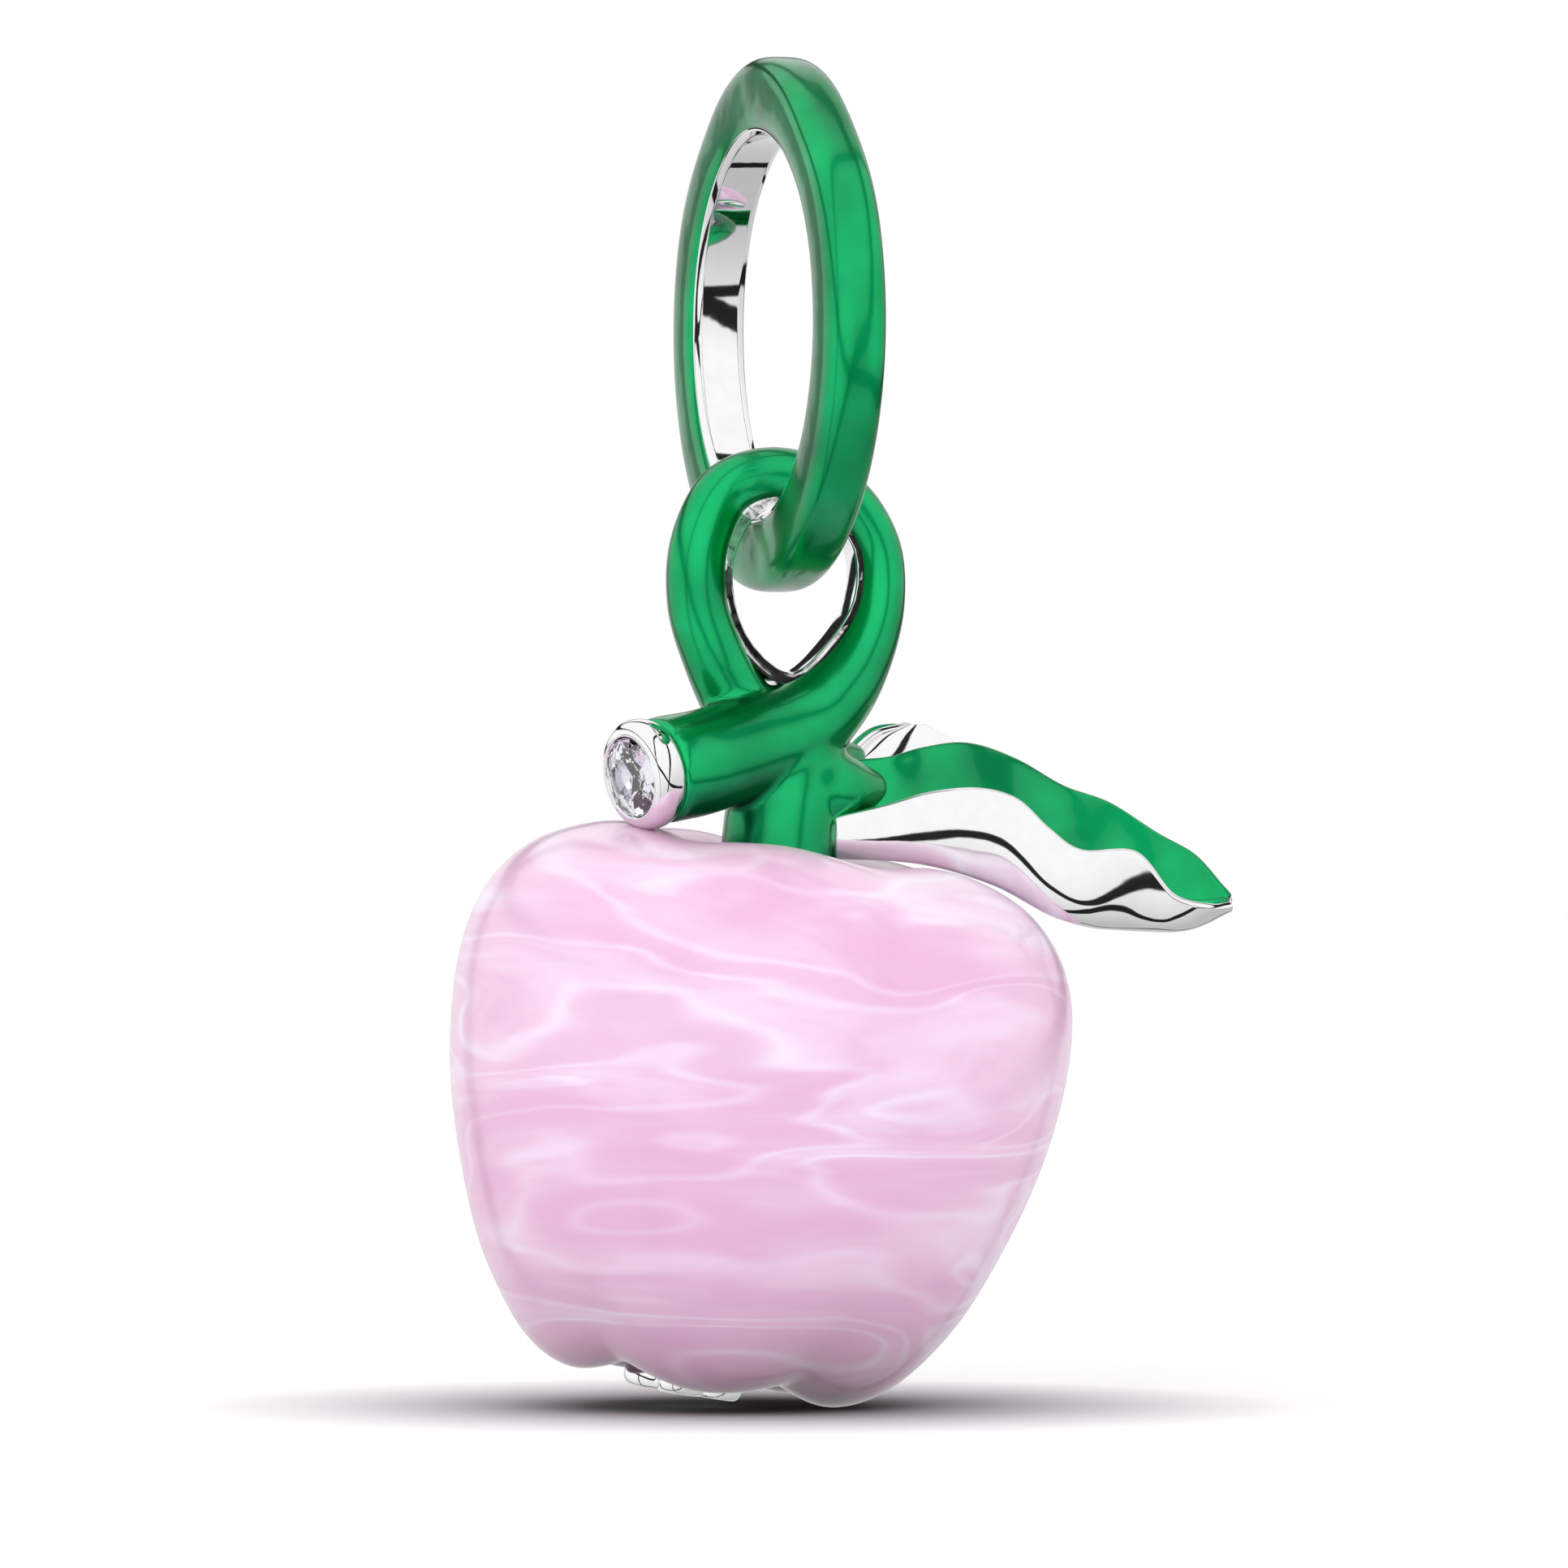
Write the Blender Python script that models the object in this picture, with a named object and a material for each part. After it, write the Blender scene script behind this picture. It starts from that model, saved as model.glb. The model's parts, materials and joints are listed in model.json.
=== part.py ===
"""Apple charm pendant: a swirled glass apple that hangs by an enamelled silver stem from a ring.

Frame: the ring's axis is X and its plane is YZ.  The origin is the top of the ring's inside, where
the bracelet or chain bears, and +Z is up.  The drop (stem, leaves, glass, calyx) is drawn in its
own frame: origin on the swing axis, u to the right, v away from the viewer, w up, turned
DROP_TURN about the vertical.  All lengths in this file are millimetres until they reach a mesh.
"""
import math

import bmesh
import bpy
import numpy as np
from mathutils import Matrix, Vector

MM = 0.001

# Carrier ring
RING_INNER = 3.98
RING_RADIAL = 1.60
RING_AXIAL = 1.33
RING_SQUARENESS = 3.5
RING_STEPS = 40
RING_FLAT = 0.42
RING_LIP = 0.55
RING_LIP_RISE = 0.09
RING_SEAT_RISE = 0.19

# Fired enamel over silver
ENAMEL = 0.10
GAP = 0.04

# Swing axis: the centre of the ring's wire at the bottom of the ring
RING_MID = RING_INNER + RING_RADIAL / 2
SWING_Z = -RING_INNER - RING_MID
DROP_TURN = math.radians(-18.0)

# Glass apple, on an axis that leans to the right
APPLE_CENTRE = Vector((-0.79, 0.0, -11.81))
APPLE_LEAN = math.radians(9.0)
APPLE_SHIFT = 0.14
APPLE_TURN_STEPS = 35
LOBES = 5
LOBE_DROP = 0.20
LOBE_SWELL = 0.030
LOBE_RISE = 0.24
BORE = 0.48
POST = 0.42
POST_TOP = 4.18
POST_BOTTOM = -5.06

# Twig end with its stone
TWIG_END = Vector((-3.04, -2.38, -4.68))
TWIG_OUT = Vector((-0.80, -0.575, -0.180)).normalized()
CUP_LENGTH = 0.62

# Calyx under the glass
CALYX_TOP = -5.42
CALYX_BOTTOM = -5.86
CALYX_REACH = 1.30
CALYX_WAIST = 0.78
CALYX_TURN = math.radians(-97.0)
CALYX_HUB = 0.55


def material(name, colour, roughness, metallic):
    """A Principled material in one colour."""
    made = bpy.data.materials.new(name)
    made.use_nodes = True
    shader = made.node_tree.nodes["Principled BSDF"]
    shader.inputs["Base Color"].default_value = (*colour, 1.0)
    shader.inputs["Roughness"].default_value = roughness
    shader.inputs["Metallic"].default_value = metallic
    return made


def solid(name, rings, finish=None, closed=False, pivot=None):
    """A closed body skinned through equal rings of points, with flat ends unless it is closed."""
    rings = np.asarray(rings, float)
    bm = bmesh.new()
    loops = [[bm.verts.new(Vector(point) * MM) for point in ring] for ring in rings]
    pairs = list(zip(loops, loops[1:]))
    if closed:
        pairs.append((loops[-1], loops[0]))
    else:
        bm.faces.new(loops[0])
        bm.faces.new(loops[-1])
    for low, high in pairs:
        for k in range(len(low)):
            after = (k + 1) % len(low)
            bm.faces.new((low[k], low[after], high[after], high[k]))
    bmesh.ops.recalc_face_normals(bm, faces=bm.faces)
    if bm.calc_volume(signed=True) < 0:
        bmesh.ops.reverse_faces(bm, faces=bm.faces)
    mesh = bpy.data.meshes.new(name)
    bm.to_mesh(mesh)
    bm.free()
    return add(name, mesh, finish, pivot)


def add(name, mesh, finish, pivot):
    """Put a mesh into the scene as one object, on the pivot if it belongs to the drop."""
    body = bpy.data.objects.new(name, mesh)
    bpy.context.scene.collection.objects.link(body)
    if finish:
        mesh.materials.append(finish)
    if pivot:
        body.parent = pivot
    mesh.shade_smooth()
    mesh.set_sharp_from_angle(angle=math.radians(40))
    return body


def smooth(points, count):
    """Points at even parameters along the smooth curve through the given points."""
    points = np.asarray(points, float)
    ends = np.vstack((2 * points[0] - points[1], points, 2 * points[-1] - points[-2]))
    where = np.linspace(0, len(points) - 1, count)
    base = np.minimum(where.astype(int), len(points) - 2)
    t = (where - base)[:, None]
    a, b, c, d = (ends[base + k] for k in range(4))
    return 0.5 * (2 * b + (c - a) * t + (2 * a - 5 * b + 4 * c - d) * t**2
                  + (3 * b - a - 3 * c + d) * t**3)


def tube(name, stations, grow, pivot):
    """A round tube through stations (u, v, w, radius), with filled ends and a grown radius."""
    curve = bpy.data.curves.new(name, "CURVE")
    curve.dimensions = "3D"
    curve.bevel_depth = MM
    curve.bevel_resolution = 3
    curve.resolution_u = 3
    curve.use_fill_caps = True
    spline = curve.splines.new("BEZIER")
    spline.bezier_points.add(len(stations) - 1)
    for point, (u, v, w, radius) in zip(spline.bezier_points, stations):
        point.co = Vector((u, v, w)) * MM
        point.radius = radius + grow
        point.handle_left_type = "AUTO"
        point.handle_right_type = "AUTO"
    guide = bpy.data.objects.new(name, curve)
    bpy.context.scene.collection.objects.link(guide)
    depsgraph = bpy.context.evaluated_depsgraph_get()
    mesh = bpy.data.meshes.new_from_object(guide.evaluated_get(depsgraph))
    bpy.data.objects.remove(guide)
    bm = bmesh.new()
    bm.from_mesh(mesh)
    bmesh.ops.remove_doubles(bm, verts=bm.verts, dist=0.0001 * MM)
    bmesh.ops.recalc_face_normals(bm, faces=bm.faces)
    bm.to_mesh(mesh)
    bm.free()
    return add(name, mesh, None, pivot)


def combine(body, others, operation):
    """Add the others to the body, or cut them from it, and keep them out of the model.

    The walls are a tenth of a millimetre, where the exact solver leaves shared edges, so the
    manifold one is used; every body here is closed.
    """
    for other in others:
        step = body.modifiers.new(other.name, "BOOLEAN")
        step.solver = "MANIFOLD"
        step.operation = operation
        step.object = other
        other.hide_render = True
        other.display_type = "WIRE"
    return body


# --- Ring ---------------------------------------------------------------------------------------

def rounded(half_x, half_y, start, end, count):
    """Points on a squared-off ellipse between two angles in degrees, zero on +x."""
    angle = np.radians(np.linspace(start, end, count))
    power = 2 / RING_SQUARENESS
    x = half_x * np.sign(np.cos(angle)) * np.abs(np.cos(angle)) ** power
    y = half_y * np.sign(np.sin(angle)) * np.abs(np.sin(angle)) ** power
    return np.stack((x, y), axis=1)


def ring_relief(angle):
    """How much of its radial thickness the ring keeps at an angle round it: hand-modelled dents."""
    relief = np.ones_like(angle)
    for centre, width, depth in ((52, 13, 0.16), (128, 13, 0.16), (88, 9, -0.04), (195, 16, -0.03)):
        away = (np.degrees(angle) - centre + 180) % 360 - 180
        relief -= depth * np.exp(-(away / width) ** 2)
    return relief


def ring_body(name, section, finish):
    """Carry a section (across the ring, out from its inside) round the ring."""
    angles = np.linspace(0, 2 * math.pi, RING_STEPS, endpoint=False)
    across, out = section[:, 0], section[:, 1]
    radius = RING_INNER + out[None, :] * ring_relief(angles)[:, None]
    x = np.broadcast_to(across, radius.shape)
    y = radius * np.cos(angles)[:, None]
    z = radius * np.sin(angles)[:, None] - RING_INNER
    return solid(name, np.stack((x, y, z), axis=2), finish, closed=True)


def make_ring(silver, enamel):
    """The silver band with its bare inner face, and the enamel round its outside."""
    middle = RING_RADIAL / 2
    half = RING_AXIAL / 2
    core = rounded(half - ENAMEL - GAP, middle - ENAMEL - GAP, -40, 220, 10) + (0, middle)
    lip = np.array(((RING_SEAT_RISE, RING_LIP - 0.12), (RING_LIP_RISE, RING_LIP), (0, RING_FLAT)))
    right = lip[:, ::-1]
    left = (lip * (1, -1))[:, ::-1]
    ring_body("ring_band", np.vstack((core, left, right[::-1])), silver)
    outside = rounded(half, middle, -45, 225, 12)
    inside = rounded(half - ENAMEL, middle - ENAMEL, 225, -45, 8)
    ring_body("ring_enamel", np.vstack((outside, inside)) + (0, middle), enamel)


# --- Stem: loop, twig, trunk and leaf roots -----------------------------------------------------

LOOP = ((-0.56, 0.10, -3.70, 0.70), (-1.24, -0.42, -2.25, 0.66), (-1.67, -0.60, -1.06, 0.62),
        (-1.63, -0.60, 0.21, 0.60), (-1.07, -0.40, 1.32, 0.58), (0.03, 0.00, 1.66, 0.56),
        (1.31, 0.45, 1.23, 0.54), (2.02, 0.70, 0.21, 0.53), (2.09, 0.70, -0.98, 0.57),
        (1.77, 0.55, -2.00, 0.68), (0.97, 0.20, -3.19, 0.85))
TWIG = ((1.20, 0.40, -2.85, 0.72), (0.70, 0.15, -3.60, 0.95), (-0.20, -0.40, -4.03, 1.05))
TWIG_STRAIGHT = 1.25
TRUNK_TOP = (0.35, 0.05, -4.00, 1.00)
TRUNK_WAIST = (0.12, 0.00, -5.20, 1.16)
LEAF_ROOT = ((0.30, 0.00, -4.70, 0.95), (0.95, 0.02, -4.85, 0.82), (1.42, 0.05, -4.92, 0.70))
BACK_ROOT = ((0.30, 0.10, -4.35, 0.75), (0.95, 0.70, -4.25, 0.55), (1.30, 1.05, -4.22, 0.45))
TRUNK_FOOT_H = 4.62
TRUNK_FOOT = 1.20

LINER = ((0.17, 1.10), (0.95, 0.80), (1.52, 0.10), (1.52, -0.95), (0.98, -1.86), (0.18, -2.52),
         (-0.62, -1.95), (-1.02, -1.05), (-1.04, -0.10), (-0.62, 0.75))
LINER_SLOPE = 0.35
LINER_HALF = 0.36
LINER_DEPTH = 0.26
LINER_STEPS = 30


def apple_point(side, h):
    """A place in the drop's frame from a place on the apple: sideways from its axis, and up it."""
    up = Vector((math.sin(APPLE_LEAN), 0, math.cos(APPLE_LEAN)))
    right = Vector((math.cos(APPLE_LEAN), 0, -math.sin(APPLE_LEAN)))
    return APPLE_CENTRE + right * side + up * h


def stem_tubes(prefix, grow, reach, pivot):
    """The stem's five tubes, with grown radii, and reaching further out at the open ends."""
    seat = TWIG_END - TWIG_OUT * (CUP_LENGTH + GAP - reach)
    straight = TWIG_END - TWIG_OUT * (CUP_LENGTH + TWIG_STRAIGHT)
    bend = TWIG_END - TWIG_OUT * (CUP_LENGTH + TWIG_STRAIGHT / 3)
    foot = apple_point(0, TRUNK_FOOT_H - reach)
    leaf_end = (LEAF_ROOT[-1][0] + reach, *LEAF_ROOT[-1][1:])
    back_end = (BACK_ROOT[-1][0] + 0.7 * reach, BACK_ROOT[-1][1] + 0.7 * reach, *BACK_ROOT[-1][2:])
    runs = {
        "loop": LOOP,
        "twig": (*TWIG, (*straight, 1.08), (*bend, 1.09), (*seat, 1.09)),
        "trunk": (TRUNK_TOP, TRUNK_WAIST, (*foot, TRUNK_FOOT)),
        "leaf_root": (*LEAF_ROOT[:-1], leaf_end),
        "back_root": (*BACK_ROOT[:-1], back_end),
    }
    return [tube(f"{prefix}_{part}", stations, grow, pivot) for part, stations in runs.items()]


def liner(name, grow, pivot):
    """The bare silver strip round the hole of the loop, as a closed band of oblong section."""
    path = smooth((*LINER, LINER[0]), LINER_STEPS + 1)[:-1]
    u, w = path[:, 0], path[:, 1]
    place = np.stack((u, LINER_SLOPE * u, w), axis=1)
    ahead = np.roll(place, -1, axis=0) - np.roll(place, 1, axis=0)
    ahead /= np.linalg.norm(ahead, axis=1)[:, None]
    across = np.array((-LINER_SLOPE, 1.0, 0.0)) / math.hypot(LINER_SLOPE, 1.0)
    out = np.cross(ahead, across)
    half = LINER_HALF + grow
    corners = ((-half, -grow), (half, -grow), (half, LINER_DEPTH + grow), (-half, LINER_DEPTH + grow))
    rings = np.stack([place + across * a + out * b for a, b in corners], axis=1)
    return solid(name, rings, closed=True, pivot=pivot)


def make_stem(silver, enamel, pivot):
    """The silver casting under the enamel, and the enamel skin over it, open at every end."""
    wall = -(ENAMEL + GAP)
    core = stem_tubes("core", wall, 0.0, pivot)
    casting = core[0]
    casting.name = "stem_casting"
    casting.data.materials.append(silver)
    combine(casting, [*core[1:], liner("core_liner", 0.0, pivot)], "UNION")
    skin = stem_tubes("skin", 0.0, 0.0, pivot)
    shell = skin[0]
    shell.name = "stem_enamel"
    shell.data.materials.append(enamel)
    combine(shell, skin[1:], "UNION")
    cutters = [*stem_tubes("bore", wall + GAP, 0.3, pivot), liner("bore_liner", GAP, pivot)]
    combine(shell, cutters, "DIFFERENCE")


# --- Turned pieces ------------------------------------------------------------------------------

def turned(name, profile, steps, finish, pivot, frame):
    """Turn a profile (radius, height) from axis to axis about the frame's Z, and place it."""
    angles = np.linspace(0, 2 * math.pi, steps, endpoint=False)
    radius, height = np.asarray(profile[1:-1], float).T
    rings = np.stack((radius[:, None] * np.cos(angles), radius[:, None] * np.sin(angles),
                      np.broadcast_to(height[:, None], (len(height), steps))), axis=2)
    bm = bmesh.new()
    loops = [[bm.verts.new(Vector(point) * MM) for point in ring] for ring in rings]
    for low, high in zip(loops, loops[1:]):
        for k in range(steps):
            after = (k + 1) % steps
            bm.faces.new((low[k], low[after], high[after], high[k]))
    for (_, end), loop in ((profile[0], loops[0]), (profile[-1], loops[-1])):
        pole = bm.verts.new((0, 0, end * MM))
        for k in range(steps):
            bm.faces.new((pole, loop[k], loop[(k + 1) % steps]))
    bmesh.ops.recalc_face_normals(bm, faces=bm.faces)
    if bm.calc_volume(signed=True) < 0:
        bmesh.ops.reverse_faces(bm, faces=bm.faces)
    bmesh.ops.transform(bm, matrix=frame, verts=bm.verts)
    mesh = bpy.data.meshes.new(name)
    bm.to_mesh(mesh)
    bm.free()
    return add(name, mesh, finish, pivot)


def facing(place, direction):
    """A frame at a place, in metres, whose Z is the direction."""
    turn = Vector(direction).to_track_quat("Z", "Y").to_matrix().to_4x4()
    return Matrix.Translation(Vector(place) * MM) @ turn


def make_stone(silver, crystal, pivot):
    """The polished cup on the twig's end and the brilliant-cut stone set in it."""
    frame = facing(TWIG_END, TWIG_OUT)
    cup = ((0, -CUP_LENGTH), (1.08, -CUP_LENGTH), (1.15, -0.46), (1.16, -0.28), (1.10, -0.10),
           (0.98, 0.0), (0.87, 0.03), (0.84, -0.10), (0.30, -0.46), (0, -0.50))
    turned("crystal_cup", cup, 24, silver, pivot, frame)
    stone = ((0, -0.42), (0.30, -0.34), (0.79, -0.07), (0.79, -0.03), (0.44, 0.10), (0, 0.10))
    turned("crystal", stone, 16, crystal, pivot, frame)


# --- Glass apple, post and calyx ----------------------------------------------------------------

APPLE_PROFILE = ((0.9, -4.62), (1.6, -5.02), (2.3, -5.42), (3.0, -5.48), (3.85, -5.02), (4.72, -4.0),
                 (5.36, -2.85), (6.0, -1.1), (6.37, 0.5), (6.50, 2.1), (6.36, 3.4), (5.92, 4.4),
                 (5.2, 5.13), (4.25, 5.56), (3.35, 5.70), (2.5, 5.58), (1.85, 5.18), (1.48, 4.6),
                 (0.95, 4.26))


def lobe(angle, turn):
    """One at the middle of each of five lobes and near zero in the creases between them."""
    wave = np.cos(LOBES / 2 * (angle - turn))
    return np.sqrt(wave**2 + 0.02)


def apple_surface(profile, angles):
    """Points on the lobed body: the profile turned, swelling and dropping on each lobe."""
    r, h = profile[:, :1], profile[:, 1:]
    swell = lobe(angles, -math.pi / 2)[None, :] - 0.65
    low = np.clip((1.5 - h) / 6.0, 0, 1) ** 1.5 * np.clip((r - BORE) / 2.0, 0, 1)
    high = np.clip((h - 3.0) / 3.0, 0, 1) * np.clip((r - 1.6) / 1.6, 0, 1)
    radius = r * (1 + LOBE_SWELL * low * swell)
    height = h - LOBE_DROP * 2 * low * swell + LOBE_RISE * high * swell
    side = radius * np.cos(angles) + APPLE_SHIFT * np.clip((r - 1.6) / 3.0, 0, 1)
    return side, radius * np.sin(angles), height


def make_apple(glass, silver, pivot):
    """The glass body with its bore, the post through it, and the calyx that holds it up."""
    body = smooth(APPLE_PROFILE, 26)
    profile = np.vstack(((BORE, -4.52), body, (BORE, 4.22)))
    angles = np.linspace(0, 2 * math.pi, APPLE_TURN_STEPS, endpoint=False)
    side, depth, height = apple_surface(profile, angles)
    lean_sin, lean_cos = math.sin(APPLE_LEAN), math.cos(APPLE_LEAN)
    u = APPLE_CENTRE.x + side * lean_cos + height * lean_sin
    w = APPLE_CENTRE.z - side * lean_sin + height * lean_cos
    rings = np.stack((u, depth, w), axis=2).transpose(1, 0, 2)
    solid("apple_glass", rings, glass, closed=True, pivot=pivot)

    up = apple_point(0, 1) - apple_point(0, 0)
    frame = facing(apple_point(0, 0), up)
    post = ((0, POST_BOTTOM), (POST, POST_BOTTOM), (POST, POST_TOP), (0, POST_TOP))
    turned("core_post", post, 16, silver, pivot, frame)

    petals = np.linspace(0, 2 * math.pi, 40, endpoint=False)
    reach = CALYX_WAIST + (CALYX_REACH - CALYX_WAIST) * np.sqrt(lobe(petals, CALYX_TURN))
    levels = ((0.86, CALYX_BOTTOM), (1.0, CALYX_BOTTOM + 0.12), (1.0, CALYX_TOP - 0.10),
              (0.88, CALYX_TOP))
    flower = [[apple_point(scale * r * math.cos(a), h) + Vector((0, scale * r * math.sin(a), 0))
               for r, a in zip(reach, petals)] for scale, h in levels]
    calyx = solid("calyx", flower, silver, pivot=pivot)
    hub = ((0, CALYX_TOP - 0.2), (CALYX_HUB, CALYX_TOP - 0.2), (CALYX_HUB, POST_BOTTOM - GAP),
           (0, POST_BOTTOM - GAP))
    combine(calyx, [turned("calyx_hub", hub, 16, None, pivot, frame)], "UNION")


# --- Leaves -------------------------------------------------------------------------------------

# Each leaf is a folded sheet given by three lines from root to tip: one rim, the keel, the other rim
FRONT_LEAF = (
    ((1.53, -0.60, -5.50), (2.30, -1.35, -5.28), (3.20, -1.85, -5.02), (4.20, -1.95, -4.93),
     (5.00, -1.85, -5.15), (5.65, -1.65, -5.75), (6.35, -1.50, -6.22), (7.50, -1.20, -6.26),
     (8.30, -0.75, -7.15), (9.05, -0.35, -7.36), (9.52, -0.03, -7.32)),
    ((1.53, 0.05, -5.55), (3.00, 0.05, -6.02), (4.55, -0.15, -6.74), (5.90, -0.25, -7.48),
     (7.20, -0.05, -7.74), (8.60, 0.05, -7.72), (9.52, 0.05, -7.34)),
    ((1.53, 0.60, -4.35), (2.20, 0.85, -4.34), (2.95, 1.40, -4.14), (3.95, 1.90, -4.02),
     (5.00, 2.20, -4.36), (6.00, 2.10, -4.92), (7.00, 1.80, -5.28), (8.00, 1.30, -5.92),
     (8.80, 0.85, -6.40), (9.35, 0.30, -7.05), (9.52, 0.12, -7.30)),
)
BACK_LEAF = (
    ((1.45, 0.95, -4.00), (1.62, 2.20, -3.68), (2.15, 3.80, -3.52), (2.85, 5.00, -3.75)),
    ((1.50, 1.20, -4.50), (1.95, 2.40, -4.25), (2.55, 3.90, -4.00), (2.95, 5.00, -3.85)),
    ((1.75, 1.15, -4.45), (3.10, 2.35, -4.12), (3.70, 3.60, -3.95), (3.02, 5.00, -3.82)),
)
LEAF_UNDER = -0.14
LEAF_UPPER = 0.06
LEAF_ENAMEL = 0.10


def leaf_sheet(lines, ends, edge, steps, columns):
    """Points and unit normals on a folded sheet: at each station a parabola through the three lines."""
    rim_a, keel, rim_b = (smooth(line, 61) for line in lines)
    where = np.linspace(ends[0], ends[1], steps) * 60
    index = np.arange(61)
    rim_a, keel, rim_b = (np.stack([np.interp(where, index, line[:, k]) for k in range(3)], axis=1)
                          for line in (rim_a, keel, rim_b))
    q = np.linspace(-edge, edge, columns)[None, :, None]
    mean = ((rim_a + rim_b) / 2)[:, None, :]
    half = ((rim_b - rim_a) / 2)[:, None, :]
    sheet = keel[:, None, :] + half * q + (mean - keel[:, None, :]) * q**2
    along = np.gradient(sheet, axis=0)
    across = np.gradient(sheet, axis=1)
    normal = np.cross(along, across)
    normal /= np.linalg.norm(normal, axis=2)[..., None]
    return sheet, normal


def leaf_plate(name, lines, span, levels, steps, finish, pivot):
    """A closed plate between two levels above the sheet, measured along its normals."""
    sheet, normal = leaf_sheet(lines, *span, steps, 7)
    under = sheet + normal * levels[0]
    upper = sheet + normal * levels[1]
    middle = sheet[:, (0, -1)] + normal[:, (0, -1)] * (levels[0] + levels[1]) / 2
    swell = 0.35 * (levels[1] - levels[0])
    outward = sheet[:, (0, -1)] - sheet[:, (1, -2)]
    middle = middle + swell * outward / np.linalg.norm(outward, axis=2)[..., None]
    rings = np.concatenate((under, middle[:, 1:], upper[:, ::-1], middle[:, :1]), axis=1)
    solid(name, rings, finish, pivot=pivot)


def make_leaves(silver, enamel, pivot):
    """Two silver leaves, each with green enamel laid on its upper face inside a bare rim."""
    for name, lines, steps, rim_span, inlay_span in (
            ("leaf", FRONT_LEAF, 18, ((0.0, 0.985), 0.99), ((0.01, 0.955), 0.90)),
            ("back_leaf", BACK_LEAF, 10, ((0.0, 0.97), 0.99), ((0.02, 0.90), 0.86))):
        plate = (LEAF_UNDER, LEAF_UPPER)
        inlay = (LEAF_UPPER + GAP, LEAF_UPPER + GAP + LEAF_ENAMEL)
        leaf_plate(f"{name}_casting", lines, rim_span, plate, steps, silver, pivot)
        leaf_plate(f"{name}_enamel", lines, inlay_span, inlay, steps, enamel, pivot)


def main():
    """Clear the scene and make the charm."""
    for old in list(bpy.data.objects):
        bpy.data.objects.remove(old)
    silver = material("polished_silver", (0.90, 0.90, 0.91), 0.08, 1.0)
    enamel = material("green_enamel", (0.00, 0.24, 0.08), 0.15, 0.0)
    glass = material("pink_swirled_glass", (0.86, 0.56, 0.75), 0.08, 0.0)
    crystal = material("clear_crystal", (0.82, 0.85, 0.93), 0.02, 0.0)
    make_ring(silver, enamel)
    pivot = bpy.data.objects.new("drop_pivot", None)
    bpy.context.scene.collection.objects.link(pivot)
    pivot.location = (0, 0, SWING_Z * MM)
    pivot.rotation_euler = (0, 0, DROP_TURN)
    make_stem(silver, enamel, pivot)
    make_stone(silver, crystal, pivot)
    make_leaves(silver, enamel, pivot)
    make_apple(glass, silver, pivot)


main()
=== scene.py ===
"""Apple charm pendant: the finished surfaces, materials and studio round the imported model.

Lengths are millimetres until they reach a mesh.  The carrier ring is drawn in the row's frame, whose
origin is the top of the ring's inside.  The drop is drawn in its own frame: origin on the swing
axis, u to the right, v away from the viewer, w up, turned about the vertical.
"""
import json
import math

import bmesh
import bpy
import numpy as np
from bpy.props import FloatProperty, FloatVectorProperty, IntProperty, PointerProperty
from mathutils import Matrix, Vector


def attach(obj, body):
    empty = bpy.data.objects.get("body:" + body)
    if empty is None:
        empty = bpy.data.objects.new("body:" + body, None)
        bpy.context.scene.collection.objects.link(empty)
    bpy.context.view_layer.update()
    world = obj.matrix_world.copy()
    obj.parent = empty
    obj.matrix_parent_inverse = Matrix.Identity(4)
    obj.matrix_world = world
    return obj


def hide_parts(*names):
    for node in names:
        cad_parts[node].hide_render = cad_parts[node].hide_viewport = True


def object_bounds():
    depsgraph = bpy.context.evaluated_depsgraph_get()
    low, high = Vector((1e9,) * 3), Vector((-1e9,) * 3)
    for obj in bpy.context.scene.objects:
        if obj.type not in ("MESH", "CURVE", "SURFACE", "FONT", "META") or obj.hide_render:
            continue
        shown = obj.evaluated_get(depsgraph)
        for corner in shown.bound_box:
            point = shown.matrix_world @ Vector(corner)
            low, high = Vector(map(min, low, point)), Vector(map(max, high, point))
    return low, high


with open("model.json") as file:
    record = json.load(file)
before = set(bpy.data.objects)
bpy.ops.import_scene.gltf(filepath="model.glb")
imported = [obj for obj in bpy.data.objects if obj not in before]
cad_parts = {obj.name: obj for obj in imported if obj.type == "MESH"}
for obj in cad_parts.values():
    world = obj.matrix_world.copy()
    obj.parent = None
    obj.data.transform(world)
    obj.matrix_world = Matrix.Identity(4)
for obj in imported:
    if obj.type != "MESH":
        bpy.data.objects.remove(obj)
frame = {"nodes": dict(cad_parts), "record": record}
CAD_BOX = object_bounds()

bl_info = {
    "name": "Apple charm pendant",
    "version": (1, 0, 0),
    "blender": (4, 5, 0),
    "location": "View3D > Sidebar > Charm",
    "description": "Makes the glass apple charm, its enamelled stem and ring, and a studio",
    "category": "Add Mesh",
}

MM = 0.001
SWING = np.array(frame["record"]["behaviour"]["joints"][0]["pos_m"]) / MM
DROP_TURN = math.radians(-18.0)

# Carrier ring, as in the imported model
RING_INNER = 3.98
RING_RADIAL = 1.60
RING_AXIAL = 1.33
ENAMEL = 0.10

# Glass apple, on an axis that leans to the right
APPLE_CENTRE = np.array((-0.79, 0.0, -11.81))
APPLE_LEAN = math.radians(9.0)
APPLE_SHIFT = 0.14
BORE = 0.48
LOBES = 5

# Twig end with its stone
TWIG_END = np.array((-3.04, -2.38, -4.68))
TWIG_OUT = np.array((-0.80, -0.575, -0.180)) / np.linalg.norm((-0.80, -0.575, -0.180))
CUP_LENGTH = 0.62
CUP_CREASE = math.radians(50)
STONE_SUNK = 0.03


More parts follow.
